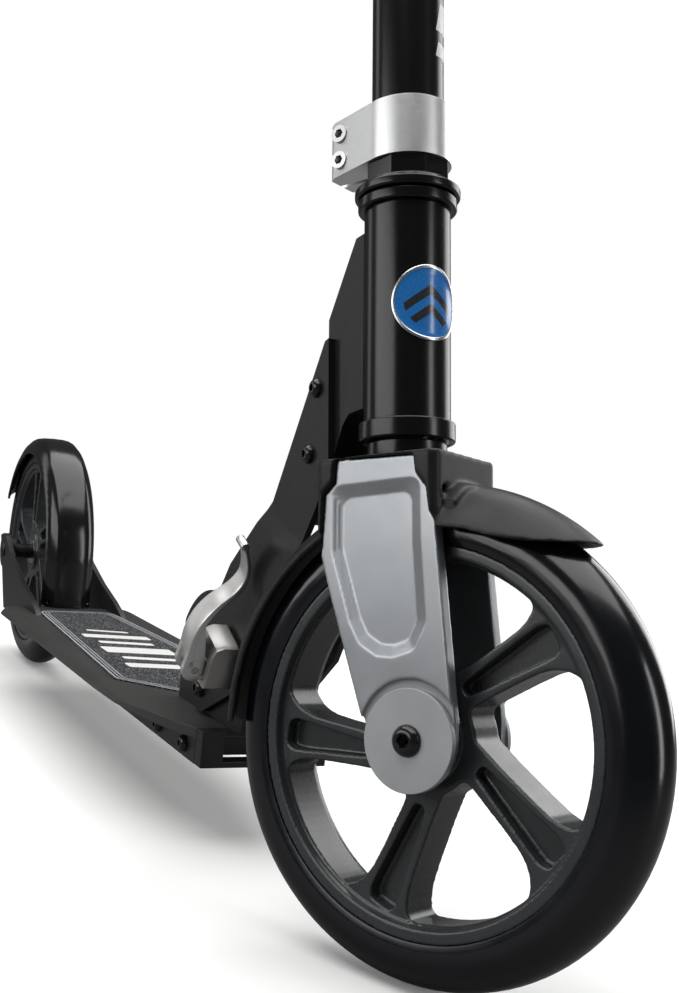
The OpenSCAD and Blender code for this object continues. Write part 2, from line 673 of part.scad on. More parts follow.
// Ring with a split ear behind the tube
module split_ring(s0, s1, r_out, ear_l) difference() {
    union() {
        z_bar(r_out, s0, s1);
        translate([0, 0, s0]) linear_extrude(s1 - s0) polygon([
            [4, -r_out * 0.97], [-8, -r_out * 0.92], [3 - ear_l, -10.5], [-ear_l, -8], [-ear_l, 8],
            [3 - ear_l, 10.5], [-8, r_out * 0.92], [4, r_out * 0.97]]);
    }
    z_bar(stem_r, s0 - 1, s1 + 1);
    translate([-ear_l - 1, -1.25, s0 - 1]) cube([ear_l, 2.5, s1 - s0 + 2]);
}

collar_screw_q = -28.5;
collar_screw_s = [(collar_lo + collar_hi) / 2 - 6.2, (collar_lo + collar_hi) / 2 + 6.2];

module clamp_collar() color([0.82, 0.83, 0.84]) fork_frame() difference() {
    split_ring(collar_lo, collar_hi, 19.5, 36);
    for (s = collar_screw_s) translate([collar_screw_q, 0, s]) {
        y_bar(2.5, -30, 30);
        y_bar(4, -30, -9);
    }
}

module collar_screws() color("silver") fork_frame() for (s = collar_screw_s)
    translate([collar_screw_q, 0, s]) difference() {
        union() {
            y_bar(2.5, -9, 9);
            y_bar(4, -13.5, -9);
        }
        translate([0, -10.5, 0]) rotate([90, 0, 0]) cylinder(r = 2.2, h = 5, $fn = 6);
    }

clamp_lo = stem_hi - 30;
clamp_hi = stem_hi - 2;
clamp_q = -27;
clamp_y = -17.2;

module height_clamp() color([0.10, 0.10, 0.11]) fork_frame() difference() {
    split_ring(clamp_lo, clamp_hi, 19.5, 34);
    translate([clamp_q, 0, (clamp_lo + clamp_hi) / 2]) y_bar(2.5, -30, 30);
}

// Cross bolt of the height clamp, with the eye for its lever and a nut
module height_bolt() color("silver") fork_frame() translate([clamp_q, 0, (clamp_lo + clamp_hi) / 2]) {
    y_bar(2.5, clamp_y, 19);
    translate([0, clamp_y, -13]) cylinder(r = 2, h = 26);
    translate([0, clamp_y, -3]) cylinder(r = 3.2, h = 6);
    translate([0, 19, 0]) rotate([90, 0, 0]) cylinder(r = 5, h = 4.5, $fn = 6);
}

// Lever that lies round the clamp and swings out about its upright pin
module height_lever() color([0.80, 0.80, 0.78]) fork_frame() {
    mid = (clamp_lo + clamp_hi) / 2;
    difference() {
        union() {
            translate([clamp_q, clamp_y, mid - 12]) cylinder(r = 4.5, h = 24);
            translate([0, 0, mid - 12]) rotate([0, 0, -127]) rotate_extrude(angle = 82)
                translate([21, 0]) square([3, 24]);
            translate([clamp_q, clamp_y - 1, mid - 11.5]) rotate([0, 0, -4]) translate([0, -2, 0]) cube([14, 3, 23]);
        }
        translate([clamp_q, clamp_y, mid - 13]) cylinder(r = 2 + fit, h = 26);
        translate([clamp_q - 6, clamp_y - 6, mid - 3.4]) cube([11, 16.5, 6.8]);
        z_bar(20.6, mid - 14, mid + 14);
    }
}

module slide_tube() color([0.78, 0.79, 0.80]) fork_frame() z_ring(slide_r, slide_r - 1.8, slide_lo, bar_height - 20);

tee_r = 15;
tee_half = 34;
bar_r = 11.1;

module handlebar_tee() color([0.08, 0.08, 0.09]) fork_frame() difference() {
    union() {
        z_bar(17, bar_height - 42, bar_height);
        translate([0, 0, bar_height]) y_bar(tee_r, -tee_half, tee_half);
    }
    z_bar(slide_r, bar_height - 43, bar_height - 20);
    translate([0, 0, bar_height]) y_bar(bar_r, -50, 50);
}

module crossbar() color([0.15, 0.15, 0.16]) fork_frame() translate([0, 0, bar_height])
    y_ring(bar_r, bar_r - 1.8, -bar_w / 2 + 4, bar_w / 2 - 4);

grip_l = 118;
module grips() color([0.12, 0.12, 0.13]) fork_frame() translate([0, 0, bar_height]) both_sides() difference() {
    union() {
        y_bar(15.5, bar_w / 2 - grip_l, bar_w / 2);
        y_bar(18, bar_w / 2 - grip_l, bar_w / 2 - grip_l + 4);
        y_bar(17, bar_w / 2 - 5, bar_w / 2 - 1);
    }
    y_bar(bar_r, bar_w / 2 - grip_l - 1, bar_w / 2 - 4);
}

deck_channel();
deck_panel();
grip_tape();
deck_nose();
nose_screws();
fold_bracket();
fold_pivot_bolt();
fold_pivot_nut();
rear_arm_left();
rear_arm_right();
arm_screws();
rear_axle();
rear_axle_nuts();
rear_spacers();
brake_hinge_pin();
brake_spring();
brake_fender();
rear_rim();
rear_tyre();
rear_bearings();
head_tube();
neck_block();
neck_plate_left();
neck_plate_right();
neck_screws();
head_badge();
lower_cup();
upper_cup();
headset_bearings();
qr_bolt();
qr_pin();
qr_saddle();
qr_nut();
qr_lever();
crown_race();
adjusting_race();
locknut();
steerer_tube();
fork_crown();
fork_leg_left();
fork_leg_right();
leg_screws();
front_mudguard();
front_axle();
axle_discs();
axle_bolts();
front_spacers();
front_rim();
front_tyre();
front_bearings();
stem_tube();
clamp_collar();
collar_screws();
height_clamp();
height_bolt();
height_lever();
slide_tube();
handlebar_tee();
crossbar();
grips();
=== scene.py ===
"""Kick scooter: materials, soft edges, prints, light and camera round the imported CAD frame."""
import json
import math

import bmesh
import bpy
from mathutils import Matrix, Vector


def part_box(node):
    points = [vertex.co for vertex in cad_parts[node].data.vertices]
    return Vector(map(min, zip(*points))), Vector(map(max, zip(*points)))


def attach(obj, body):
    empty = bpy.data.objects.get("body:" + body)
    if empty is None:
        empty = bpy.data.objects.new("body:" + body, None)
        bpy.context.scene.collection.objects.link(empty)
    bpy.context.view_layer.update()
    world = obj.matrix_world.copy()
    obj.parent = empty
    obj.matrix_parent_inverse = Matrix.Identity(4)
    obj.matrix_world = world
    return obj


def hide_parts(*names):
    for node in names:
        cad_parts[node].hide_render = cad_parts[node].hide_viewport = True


MM = 0.001
MICRON = 0.000001
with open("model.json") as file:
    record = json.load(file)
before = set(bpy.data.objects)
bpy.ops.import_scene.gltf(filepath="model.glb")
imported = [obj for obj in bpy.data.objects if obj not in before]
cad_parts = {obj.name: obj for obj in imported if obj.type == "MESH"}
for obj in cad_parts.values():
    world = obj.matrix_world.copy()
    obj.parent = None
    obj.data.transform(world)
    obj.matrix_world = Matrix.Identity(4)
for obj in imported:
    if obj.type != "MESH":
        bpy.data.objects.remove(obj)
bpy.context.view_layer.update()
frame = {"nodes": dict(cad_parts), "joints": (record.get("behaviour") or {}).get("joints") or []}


def joint(name):
    return next(j for j in frame["joints"] if j["name"] == name)


# ---- axes of the moving groups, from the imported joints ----

steer = joint("steering")
steer_axis = Vector(steer["axis"]).normalized()
steer_foot = Vector(steer["pos_m"])
spin_axis = Vector(joint("front_wheel_spin")["axis"]).normalized()
wheel_centre = Vector(joint("front_wheel_spin")["pos_m"])


def basis(origin, x_axis, y_axis):
    """Matrix of a local frame with the given origin and two of its axes."""
    x, y = x_axis.normalized(), y_axis.normalized()
    z = x.cross(y)
    m = Matrix((x, y, z)).transposed().to_4x4()
    m.translation = origin
    return m


# Frames with Z up the steering axis: head stays with the neck, fork turns with the front wheel
head = basis(steer_foot, Vector((0, 1, 0)).cross(steer_axis), Vector((0, 1, 0)))
fork = basis(steer_foot, spin_axis.cross(steer_axis), spin_axis)


# ---- materials ----

class Nodes:
    """Builds one material's node tree, a node at a time."""

    def __init__(self, name):
        self.material = bpy.data.materials.new(name)
        self.material.use_nodes = True
        self.tree = self.material.node_tree
        self.shader = self.tree.nodes["Principled BSDF"]
        self.tex = self.add("ShaderNodeTexCoord")
        self.place = self.tex.outputs["Object"]

    def add(self, kind, inputs=None, **settings):
        node = self.tree.nodes.new(kind)
        for key, value in settings.items():
            setattr(node, key, value)
        for key, value in (inputs or {}).items():
            if hasattr(value, "is_linked"):
                self.tree.links.new(value, node.inputs[key])
            else:
                node.inputs[key].default_value = value
        return node

    def set(self, **values):
        for key, value in values.items():
            self.shader.inputs[key.replace("_", " ")].default_value = value
        return self

    def feed(self, key, socket):
        self.tree.links.new(socket, self.shader.inputs[key])
        return self

    def noise(self, scale, detail=3.0, rough=0.55, stretch=(1, 1, 1)):
        place = self.add("ShaderNodeMapping", {"Vector": self.place, "Scale": stretch}).outputs[0]
        noise = self.add("ShaderNodeTexNoise", {
            "Vector": place, "Scale": scale, "Detail": detail, "Roughness": rough})
        return noise.outputs["Fac"]

    def spread(self, source, low, high, start=0.3, end=0.7):
        return self.add("ShaderNodeMapRange", {
            "Value": source, "From Min": start, "From Max": end, "To Min": low, "To Max": high}).outputs[0]

    def blend(self, source, first, second, start=0.3, end=0.7):
        fac = self.spread(source, 0.0, 1.0, start, end)
        mix = self.add("ShaderNodeMix", data_type="RGBA")
        self.tree.links.new(fac, mix.inputs["Factor"])
        for key, value in ((6, first), (7, second)):
            if hasattr(value, "is_linked"):
                self.tree.links.new(value, mix.inputs[key])
            else:
                mix.inputs[key].default_value = (*value, 1)
        return mix.outputs[2]

    def bump(self, height, distance, strength=1.0, under=None):
        inputs = {"Height": height, "Distance": distance, "Strength": strength}
        if under is not None:
            inputs["Normal"] = under
        return self.add("ShaderNodeBump", inputs).outputs["Normal"]


def grey(v, warm=0.0):
    """Nearly neutral colour; warm leans it to red, or to blue when negative."""
    return (v * (1 + warm), v, v * (1 - warm))


def toned(tone, factor):
    return tuple(c * factor for c in tone)


def painted(name, tone, rough, specular, metallic=0.0):
    """Satin paint: slight orange peel, faint dust and handling marks in its gloss."""
    n = Nodes(name).set(Metallic=metallic, Specular_IOR_Level=specular)
    n.feed("Base Color", n.blend(n.noise(28, 4), toned(tone, 0.92), toned(tone, 1.1)))
    n.feed("Roughness", n.spread(n.noise(240, 5), rough * 0.94, rough * 1.08))
    peel = n.bump(n.noise(1100, 2), 12 * MICRON, 0.3)
    n.feed("Normal", n.bump(n.noise(4200, 1), 6 * MICRON, 0.4, peel))
    return n.material


def moulded(name, tone, rough, specular, grain, depth):
    """Moulded plastic with a fine spark-eroded grain; its depth is in micrometres."""
    n = Nodes(name).set(Specular_IOR_Level=specular)
    n.feed("Base Color", n.blend(n.noise(35, 4), toned(tone, 0.88), toned(tone, 1.15)))
    n.feed("Roughness", n.spread(n.noise(60, 5), rough * 0.9, rough * 1.12))
    n.feed("Normal", n.bump(n.noise(grain, 3, 0.7), depth * MICRON, 0.5))
    return n.material


def bright_metal(name, tone, rough, stretch, scale):
    """Light metal: blasted, or brushed with fine lines across the stretched axis."""
    n = Nodes(name).set(Metallic=1.0)
    lines = n.noise(scale, 6, 0.7, stretch)
    n.feed("Base Color", n.blend(lines, toned(tone, 0.9), tone))
    n.feed("Roughness", n.spread(lines, rough * 0.8, rough * 1.35))
    n.feed("Normal", n.bump(n.noise(1600, 3), 8 * MICRON, 0.3, n.bump(lines, 4 * MICRON, 0.4)))
    return n.material


def urethane(name):
    """Cast urethane tyre: deep black, smooth and glossy, with a little dust in its surface."""
    n = Nodes(name).set(Specular_IOR_Level=0.45, Coat_Weight=0.2, Coat_Roughness=0.1)
    specks = n.noise(2600, 2, 0.8)
    dusty = n.blend(specks, (0.0025, 0.0031, 0.005), (0.03, 0.032, 0.035), 0.68, 0.8)
    n.feed("Base Color", dusty)
    n.feed("Roughness", n.spread(n.noise(40, 5), 0.15, 0.24))
    n.feed("Normal", n.bump(n.noise(500, 3), 30 * MICRON, 0.3))
    return n.material


def grit(name):
    """Sandpaper grip tape: coarse mineral grains, some painted pale as painted glints and made glossier."""
    n = Nodes(name).set(Specular_IOR_Level=0.25)
    grains = n.add("ShaderNodeTexVoronoi", {"Vector": n.place, "Scale": 1500.0})
    fine = n.noise(3800, 2, 0.8)
    base = n.blend(fine, (0.006, 0.0065, 0.008), (0.030, 0.032, 0.036), 0.35, 0.65)
    value = n.add("ShaderNodeSeparateColor", {"Color": grains.outputs["Color"]}).outputs[0]
    # Painted glints: picked grains get a pale base colour in place of sparkle; their lower roughness below
    # is real gloss
    n.feed("Base Color", n.blend(value, base, (0.30, 0.31, 0.33), 0.82, 0.98))
    n.feed("Roughness", n.spread(value, 0.75, 0.3, 0.6, 1.0))
    n.feed("Normal", n.bump(grains.outputs["Distance"], 400 * MICRON, 0.9, n.bump(fine, 200 * MICRON, 0.6)))
    return n.material


def printed(name, tone):
    """Screen-printed ink, slightly uneven."""
    n = Nodes(name).set(Specular_IOR_Level=0.4)
    n.feed("Base Color", n.blend(n.noise(900, 3, 0.7), toned(tone, 0.86), tone, 0.35, 0.6))
    n.feed("Roughness", n.spread(n.noise(300, 3), 0.28, 0.455))
    n.feed("Normal", n.bump(n.noise(1800, 2), 20 * MICRON, 0.4))
    return n.material


def badge_print(name):
    """Round badge: silver rim, blue field and two dark chevrons, from its own flat coordinates in mm."""
    chevron_slope, chevron_gap, chevron_half = 0.75, 4.2, 2.1
    field_r, rim_inner_r = 11.5, 15.2
    n = Nodes(name).set(Specular_IOR_Level=0.5, Coat_Weight=0.6, Coat_Roughness=0.08)
    flat = n.add("ShaderNodeSeparateXYZ", {"Vector": n.tex.outputs["UV"]})
    across, along = flat.outputs[0], flat.outputs[1]

    def math_node(operation, first, second=0.0):
        return n.add("ShaderNodeMath", {0: first, 1: second}, operation=operation).outputs[0]

    radius = math_node("SQRT", math_node(
        "ADD", math_node("MULTIPLY", across, across), math_node("MULTIPLY", along, along)))
    slope = math_node("ADD", along, math_node("MULTIPLY", math_node("ABSOLUTE", across), chevron_slope))
    band = math_node("LESS_THAN", math_node("ABSOLUTE", math_node(
        "SUBTRACT", math_node("ABSOLUTE", math_node("SUBTRACT", slope, 1.5)), chevron_gap)), chevron_half)
    inside = math_node("LESS_THAN", radius, field_r)
    rim = math_node("GREATER_THAN", radius, rim_inner_r)
    fleck = n.noise(2500, 2, 0.7)
    blue = n.blend(fleck, (0.010, 0.13, 0.42), (0.014, 0.19, 0.55))
    field = n.blend(math_node("MULTIPLY", band, inside), blue, (0.022, 0.023, 0.027), 0.4, 0.6)
    n.feed("Base Color", n.blend(rim, field, (0.72, 0.73, 0.75), 0.4, 0.6))
    n.feed("Metallic", rim)
    n.feed("Roughness", n.spread(fleck, 0.2, 0.34))
    return n.material


BLACK = painted("black_paint", grey(0.003, -0.06), 0.22, 0.42)
DARK = painted("dark_cast", grey(0.006, 0.0), 0.40, 0.42)
DECK = painted("deck_anodised", grey(0.055, 0.03), 0.36, 0.5, 0.4)
CHANNEL = painted("channel_black", grey(0.006, 0.02), 0.40, 0.42)
LEG = painted("leg_grey", grey(0.38, -0.04), 0.34, 0.5, 0.7)
DISC = painted("disc_grey", grey(0.42, -0.035), 0.42, 0.5, 0.4)
SILVER = bright_metal("satin_silver", grey(0.82, -0.005), 0.36, (1, 1, 30), 220)
POLISHED = bright_metal("polished_silver", grey(0.82, 0.012), 0.34, (1, 1, 1), 2400)
CAST = bright_metal("cast_silver", grey(0.42, 0.03), 0.38, (1, 1, 1), 1800)
STEEL = bright_metal("bright_steel", grey(0.45, 0.0), 0.2, (1, 1, 1), 300)
SCREW = painted("black_screw", grey(0.008), 0.16, 0.5)
RIM = moulded("rim_plastic", grey(0.034, -0.07), 0.27, 0.6, 2200, 10)
GUARD = moulded("guard_plastic", grey(0.008, -0.06), 0.42, 0.3, 1800, 40)
FENDER = moulded("fender_plastic", grey(0.006), 0.17, 0.5, 900, 10)
TYRE = urethane("tyre_urethane")
TAPE = grit("grip_grit")
WHITE_INK = printed("white_ink", (0.78, 0.78, 0.76))
LINE_INK = printed("line_ink", (0.50, 0.52, 0.53))
BADGE = badge_print("badge_print")
GRIP = moulded("grip_rubber", grey(0.015), 0.7, 0.3, 700, 300)

FINISH = {
    "deck_channel": CHANNEL, "deck_panel": DECK, "grip_tape": TAPE, "deck_nose": CHANNEL,
    "nose_screws": SCREW, "fold_bracket": DARK, "fold_pivot_bolt": SCREW, "fold_pivot_nut": SCREW,
    "rear_arm_left": DARK, "rear_arm_right": DARK, "arm_screws": SCREW, "rear_axle": STEEL,
    "rear_axle_nuts": DARK, "rear_spacers": DARK, "brake_hinge_pin": STEEL, "brake_spring": STEEL,
    "brake_fender": FENDER, "rear_rim": RIM, "rear_tyre": TYRE, "rear_bearings": STEEL,
    "head_tube": BLACK, "neck_block": DARK, "neck_plate_left": DARK, "neck_plate_right": DARK,
    "neck_screws": SCREW, "head_badge": BADGE, "lower_cup": BLACK, "upper_cup": BLACK,
    "headset_bearings": STEEL, "qr_bolt": STEEL, "qr_pin": STEEL, "qr_saddle": CAST, "qr_nut": SCREW,
    "qr_lever": POLISHED, "crown_race": BLACK, "adjusting_race": BLACK, "locknut": BLACK,
    "steerer_tube": STEEL, "fork_crown": DARK, "fork_leg_left": LEG, "fork_leg_right": LEG,
    "leg_screws": STEEL, "front_mudguard": GUARD, "front_axle": STEEL, "axle_discs": DISC,
    "axle_bolts": SCREW, "front_spacers": STEEL, "front_rim": RIM, "front_tyre": TYRE,
    "front_bearings": STEEL, "stem_tube": BLACK, "clamp_collar": SILVER, "collar_screws": STEEL,
    "height_clamp": BLACK, "height_bolt": STEEL, "height_lever": SILVER, "slide_tube": SILVER,
    "handlebar_tee": BLACK, "crossbar": BLACK, "grips": GRIP,
}

# Edge rounding of the CAD nodes, in millimetres; a node that isn't named gets the default
EDGE = {"default": 0.35, "front_tyre": 0, "rear_tyre": 0, "clamp_collar": 0.7,
        "neck_plate_left": 0.5, "neck_plate_right": 0.5, "grip_tape": 0.15, "deck_nose": 0.6,
        "upper_cup": 1.6, "adjusting_race": 1.5, "lower_cup": 1.6, "crown_race": 0.9, "locknut": 0.8,
        "qr_nut": 0.7, "deck_channel": 0.5}

# Nodes whose edges and hollows are all rounded alike: voxel size in millimetres, smoothing passes
MOULDED = {"front_mudguard": (0.65, 30), "fork_leg_right": (0.42, 12), "fork_leg_left": (0.42, 12),
           "front_rim": (0.6, 5), "rear_rim": (0.75, 4)}


def smooth_faces(obj):
    """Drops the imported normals, so that the modifiers' own shading shows."""
    if "custom_normal" in obj.data.attributes:
        obj.data.attributes.remove(obj.data.attributes["custom_normal"])
    for polygon in obj.data.polygons:
        polygon.use_smooth = True


def weld(obj):
    obj.modifiers.new("weld", "WELD").merge_threshold = 0.002 * MM


def round_edges(obj, width):
    """Bevels a CAD node's sharp edges by modifiers, so its mesh stays as packed."""
    smooth_faces(obj)
    weld(obj)
    flat = obj.modifiers.new("flat", "DECIMATE")
    flat.decimate_type = "DISSOLVE"
    flat.angle_limit = math.radians(0.4)
    if width:
        bevel = obj.modifiers.new("bevel", "BEVEL")
        bevel.width = width * MM
        bevel.segments = 2 if width < 1 else 4
        bevel.limit_method = "ANGLE"
        bevel.angle_limit = math.radians(28)
    obj.modifiers.new("normal", "WEIGHTED_NORMAL")


def melt(obj, voxel, passes):
    """Rounds every edge and hollow of a moulded or cast CAD node, by modifiers."""
    smooth_faces(obj)
    weld(obj)
    remesh = obj.modifiers.new("remesh", "REMESH")
    remesh.mode = "VOXEL"
    remesh.voxel_size = voxel * MM
    remesh.use_smooth_shade = True
    smooth = obj.modifiers.new("smooth", "SMOOTH")
    smooth.factor = 0.5
    smooth.iterations = passes


for name, obj in frame["nodes"].items():
    obj.data.materials.clear()
    obj.data.materials.append(FINISH[name])
    if name in MOULDED:
        melt(obj, *MOULDED[name])
    else:
        round_edges(obj, EDGE.get(name, EDGE["default"]))


# ---- pieces of their own ----

def piece(name, verts, faces, material, body, uvs=None, solid=True):
    """A smooth-shaded mesh piece that rides on a body; a solid's faces are made to point outwards."""
    mesh = bpy.data.meshes.new(name)
    mesh.from_pydata([tuple(v) for v in verts], [], faces)
    mesh.materials.append(material)
    if uvs:
        layer = mesh.uv_layers.new(name="flat")
        for loop in mesh.loops:
            layer.data[loop.index].uv = uvs[loop.vertex_index]
    if solid:
        clean = bmesh.new()
        clean.from_mesh(mesh)
        bmesh.ops.remove_doubles(clean, verts=clean.verts, dist=0.001 * MM)
        bmesh.ops.recalc_face_normals(clean, faces=clean.faces)
        clean.to_mesh(mesh)
        clean.free()
    for polygon in mesh.polygons:
        polygon.use_smooth = True
    mesh.set_sharp_from_angle(angle=math.radians(38))
    obj = bpy.data.objects.new(name, mesh)
    bpy.context.scene.collection.objects.link(obj)
    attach(obj, body)
    return obj


def grid_faces(rows, columns, closed=False):
    """Quads of a grid of points given row by row; closed joins each row's end to its start."""
    last = columns if closed else columns - 1
    return [(r * columns + c, r * columns + (c + 1) % columns,
             (r + 1) * columns + (c + 1) % columns, (r + 1) * columns + c)
            for r in range(rows - 1) for c in range(last)]


def lathe(profile, steps, place):
    """Points of a closed profile of (radius, along) pairs turned about the Z axis of a frame."""
    rows = profile + [profile[0]]
    verts = [place @ Vector((r * math.cos(t), r * math.sin(t), z)) for r, z in rows
             for t in (2 * math.pi * i / steps for i in range(steps))]
    return verts, grid_faces(len(rows), steps, True)


def rounded(corners, radius, steps=6):
    """Closed outline with its corners rounded by short curves."""
    path = []
    for i, corner in enumerate(corners):
        p, a, b = Vector(corner), Vector(corners[i - 1]), Vector(corners[(i + 1) % len(corners)])
        ta, tb = (a - p).normalized(), (b - p).normalized()
        longest = 0.45 * min((a - p).length, (b - p).length)
        reach = min(radius / math.tan(ta.angle(tb) / 2), longest)
        start, end = p + ta * reach, p + tb * reach
        for k in range(steps + 1):
            t = k / steps
            path.append((1 - t) ** 2 * start + 2 * t * (1 - t) * p + t ** 2 * end)
    return path


def inset(corners, gap):
    """Closed outline, anticlockwise, moved inwards by the gap."""
    moved = []
    for i, corner in enumerate(corners):
        p, a, b = Vector(corner), Vector(corners[i - 1]), Vector(corners[(i + 1) % len(corners)])
        d1, d2 = (p - a).normalized(), (b - p).normalized()
        n1, n2 = Vector((-d1.y, d1.x)), Vector((-d2.y, d2.x))
        moved.append(p + (n1 + n2) * (gap / (1 + n1.dot(n2))))
    return moved


def ribbon(name, path, width, z):
    """Flat line printed on the grip tape along a closed path."""
    left, right = [], []
    count = len(path)
    for i, p in enumerate(path):
        side = (path[(i + 1) % count] - path[i - 1]).normalized()
        side = Vector((-side.y, side.x)) * width / 2
        left.append((p.x + side.x, p.y + side.y, z))
        right.append((p.x - side.x, p.y - side.y, z))
    faces = [(i, (i + 1) % count, count + (i + 1) % count, count + i) for i in range(count)]
    piece(name, left + right, faces, LINE_INK, "deck", solid=False)


def tape_prints():
    """Pale lines round the grip tape's edge and slanted white bars across its middle."""
    low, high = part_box("grip_tape")
    ink_z = high.z + 0.05 * MM
    back, front, wide = low.x, high.x, high.y
    shoulder = front - 37 * MM
    back_half, front_half = 0.69 * wide, 0.29 * wide
    outline = [(back, -back_half), (shoulder, -wide), (front, -front_half),
               (front, front_half), (shoulder, wide), (back, back_half)]
    for name, gap, corner, width in (("edge", 1.4, 14, 0.9), ("0", 4.0, 12, 0.6), ("1", 6.2, 12, 0.6)):
        path = rounded(inset(outline, gap * MM), corner * MM)
        ribbon(f"tape_line_{name}", path, width * MM, ink_z)

    # Each bar: distance from the tape's front, length along the deck, half width, all in millimetres
    bars = [(70, 14, 24), (98, 9, 19), (121, 22, 24), (157, 9, 19), (180, 14, 24), (208, 6, 15)]
    lean = 4 * MM
    for number, (start, length, reach) in enumerate(bars):
        x1 = front - start * MM
        x0, y = x1 - length * MM, reach * MM
        bar = rounded([(x0 - lean, -y), (x1 - lean, -y), (x1 + lean, y), (x0 + lean, y)], 2.5 * MM, 5)
        obj = piece(f"tape_bar_{number}", [(p.x, p.y, ink_z) for p in bar], [tuple(range(len(bar)))],
                    WHITE_INK, "deck", solid=False)


tape_prints()


def wrapped(place, radius, across_mm, along_mm, lift=0.0):
    """Point on a tube: a flat point of the badge or print, bent round the tube's front."""
    turn, r = across_mm * MM / radius, radius + lift
    return place @ Vector((r * math.cos(turn), r * math.sin(turn), along_mm * MM))


def badge():
    """Domed badge with a raised rim, a circle bent round the head tube."""
    low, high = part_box("head_badge")
    station = head.inverted() @ ((low + high) / 2)
    tube_r, steps = 19.05 * MM, 72
    # Each ring: radius and height over the tube, in millimetres
    rings = [(0, 0.95), (4, 0.94), (8, 0.9), (12, 0.82), (14.8, 0.72), (15.2, 0.85), (15.5, 1.05),
             (16.1, 1.1), (16.5, 0.9), (16.6, 0.55), (16.6, 0.02)]
    verts, uvs = [], []
    for r, lift in rings:
        for i in range(steps):
            t = 2 * math.pi * i / steps
            uvs.append((r * math.cos(t), r * math.sin(t)))
            verts.append(wrapped(head, tube_r, r * math.cos(t), station.z / MM + r * math.sin(t), lift * MM))
    obj = piece("badge", verts, grid_faces(len(rings), steps, True), BADGE, "neck", uvs)
    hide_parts("head_badge")


badge()


def stem_bars():
    """Two slanted white bars printed on the front of the stem."""
    radius, ink = 16.0 * MM, 0.04 * MM
    left, wide, slant = -2.0, 9, 0.25
    rows, columns = 7, 9
    for number, (along, tall) in enumerate(((298, 7), (310, 14))):
        verts = []
        for k in range(rows):
            rise = tall * k / (rows - 1)
            start = left + slant * rise
            verts += [wrapped(fork, radius, start + wide * c / (columns - 1), along + rise, ink)
                      for c in range(columns)]
        obj = piece(f"stem_bar_{number}", verts, grid_faces(rows, columns), WHITE_INK, "fork", solid=False)


stem_bars()


def grip_profile():
    """Half section of a grip as (radius, distance from the stem) pairs in millimetres."""
    inner, outer, bore = 91, 209, 11.3
    ribs, pitch, first_rib = 21, 4.7, inner + 6
    profile = [(bore, inner), (17.4, inner), (18.0, inner + 0.8), (18.0, inner + 3.2), (17.2, inner + 4)]
    for i in range(ribs):
        z = first_rib + i * pitch
        profile += [(14.9, z), (15.5, z + 0.5), (15.7, z + 1.2), (15.7, z + 2.6), (15.5, z + 3.3),
                    (14.9, z + 3.8)]
    profile += [(16.6, outer - 5.5), (17.0, outer - 4.5), (17.0, outer - 1.8), (16.2, outer - 0.6),
                (14.5, outer), (0.2, outer), (0.2, outer - 3), (bore, outer - 3)]
    return [(r * MM, z * MM) for r, z in profile]


def grip_pieces():
    """Ribbed rubber grips with a flange at the inner end and a rounded cap at the outer end."""
    low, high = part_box("grips")
    middle = Matrix.Translation((low + high) / 2) @ fork.to_3x3().to_4x4()
    for number, side in enumerate((1, -1)):
        place = middle @ Matrix.Rotation(-side * math.pi / 2, 4, "X")
        obj = piece(f"grip_{number}", *lathe(grip_profile(), 48, place), GRIP, "handlebar")
        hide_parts("grips")


grip_pieces()


# ---- fold lever and its cam block ----

# Frame with X along the lever's pin; cam_y is how far the pin lies to the right of the middle, in mm
swing = joint("fold_lever_swing")
cam_axis = Vector(swing["axis"]).normalized()
if cam_axis.x < 0:
    cam_axis = -cam_axis
cam_y = 42
lever = basis(Vector(swing["pos_m"]) + Vector((0, cam_y * MM, 0)), cam_axis, Vector((0, 1, 0)))


def cubic(a, b, c, d, t):
    return (1 - t) ** 3 * a + 3 * t * (1 - t) ** 2 * b + 3 * t * t * (1 - t) * c + t ** 3 * d


def on_lever(x, y, z):
    """Point of the lever's frame, given in millimetres, in the row frame."""
    return lever @ (Vector((x, y, z)) * MM)


def lever_section(half_w, half_t, corner, steps=4):
    """Rounded rectangle as (across, through) pairs."""
    points = []
    for sx, sy, start in ((1, 1, 0), (-1, 1, 90), (-1, -1, 180), (1, -1, 270)):
        for k in range(steps + 1):
            t = math.radians(start + 90 * k / steps)
            points.append((sx * (half_w - corner) + corner * math.cos(t),
                           sy * (half_t - corner) + corner * math.sin(t)))
    return points


def lever_strip():
    """The curved flat strip, thinner and narrower towards its tip; gives its tip's place too."""
    steps = 14
    bends = [[(-44.5, 2), (-49, 16), (-45.5, 30), (-36, 40)],
             [(-36, 40), (-25.5, 50), (-23.5, 57), (-32, 73)]]
    path = []
    for bend in bends:
        a, b, c, d = (Vector(p) for p in bend)
        path += [cubic(a, b, c, d, k / steps) for k in range(steps + 1)][1 if path else 0:]
    rows = []
    for i, p in enumerate(path):
        t = i / (len(path) - 1)
        run = (path[min(i + 1, len(path) - 1)] - path[max(i - 1, 0)]).normalized()
        side = Vector((-run.y, run.x))
        half_w, half_t = 7.5 - 2.9 * max(0, t - 0.35) / 0.65, 1.9 - 0.7 * t
        rows.append([on_lever(u, p.x + side.x * v, p.y + side.y * v)
                     for u, v in lever_section(half_w, half_t, 0.9)])
    columns = len(rows[0])
    verts = [v for row in rows for v in row]
    faces = grid_faces(len(rows), columns, True)
    faces += [tuple(range(columns - 1, -1, -1)), tuple(range(len(verts) - columns, len(verts)))]
    return verts, faces, path[-1]


